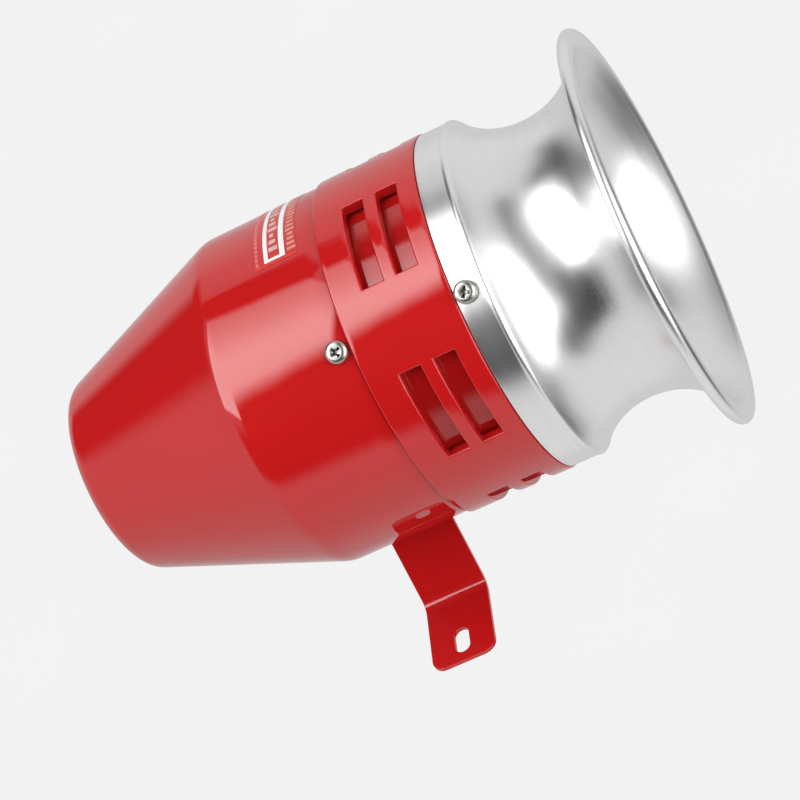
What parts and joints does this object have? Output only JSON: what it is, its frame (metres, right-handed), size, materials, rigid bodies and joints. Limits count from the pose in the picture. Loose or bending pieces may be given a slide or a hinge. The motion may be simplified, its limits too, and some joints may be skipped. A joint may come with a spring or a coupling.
{
  "type": "alarm siren",
  "caption": "Motor-driven alarm siren: a ported drum spins inside a slotted red ring behind a spun aluminium horn, with a cone-backed red motor cover on a slotted strap bracket.",
  "frame": {"origin": "midway between the centres of the bracket's two slots, on the mounting surface", "axes": "+X along the siren's axis toward the horn's mouth, +Z away from the mounting surface, +Y along the bracket's feet"},
  "size_m": [0.2251, 0.1518, 0.1702],
  "materials": {
    "red_enamel": "glossy red stove enamel",
    "spun_aluminium": "spun and brushed, satin",
    "nickel_screw": "bright nickel plate",
    "zinc_steel": "bright zinc plate",
    "ground_steel": "ground and polished",
    "lamination_steel": "stacked, varnished sheet",
    "cast_aluminium": "as cast",
    "enamelled_copper": "varnished winding wire",
    "bare_copper": "turned",
    "carbon": "pressed graphite",
    "black_phenolic": "moulded, semi-matt",
    "cream_plastic": "moulded",
    "black_rubber": "moulded",
    "label_film": "printed film, no lettering"
  },
  "bodies": {
    "case": {"rear_cover": "red_enamel", "cover_screws": "nickel_screw", "rating_label": "label_film", "cable_grommet": "black_rubber", "slotted_ring": "red_enamel", "horn": "spun_aluminium", "horn_screws": "nickel_screw", "mounting_bracket": "red_enamel", "bracket_screws": "nickel_screw", "bracket_nuts": "nickel_screw", "motor_plate": "zinc_steel", "plate_screws": "zinc_steel", "motor_screws": "zinc_steel", "front_end_bell": "cast_aluminium", "rear_end_bell": "cast_aluminium", "through_bolts": "zinc_steel", "stator_core": "lamination_steel", "field_coils": "enamelled_copper", "brush_holders": "black_phenolic", "carbon_brushes": "carbon", "brush_springs": "zinc_steel", "brush_caps": "black_phenolic", "terminal_block": "cream_plastic", "terminal_screws": "zinc_steel", "front_bearing_outer_race": "ground_steel", "rear_bearing_outer_race": "ground_steel", "front_bearing_balls": "ground_steel", "rear_bearing_balls": "ground_steel"},
    "rotor": {"motor_shaft": "ground_steel", "armature_core": "lamination_steel", "armature_windings": "enamelled_copper", "commutator": "bare_copper", "cooling_fan": "black_phenolic", "rotor_spacer": "zinc_steel", "siren_rotor": "red_enamel", "rotor_washer": "zinc_steel", "rotor_nut": "zinc_steel", "front_bearing_inner_race": "ground_steel", "rear_bearing_inner_race": "ground_steel"}
  },
  "joints": [
    {"name": "rotor_spin", "type": "hinge", "parent": "case", "child": "rotor", "pos_m": [0, 0, 0.0943], "axis": [1, 0, 0], "continuous": true}
  ]
}
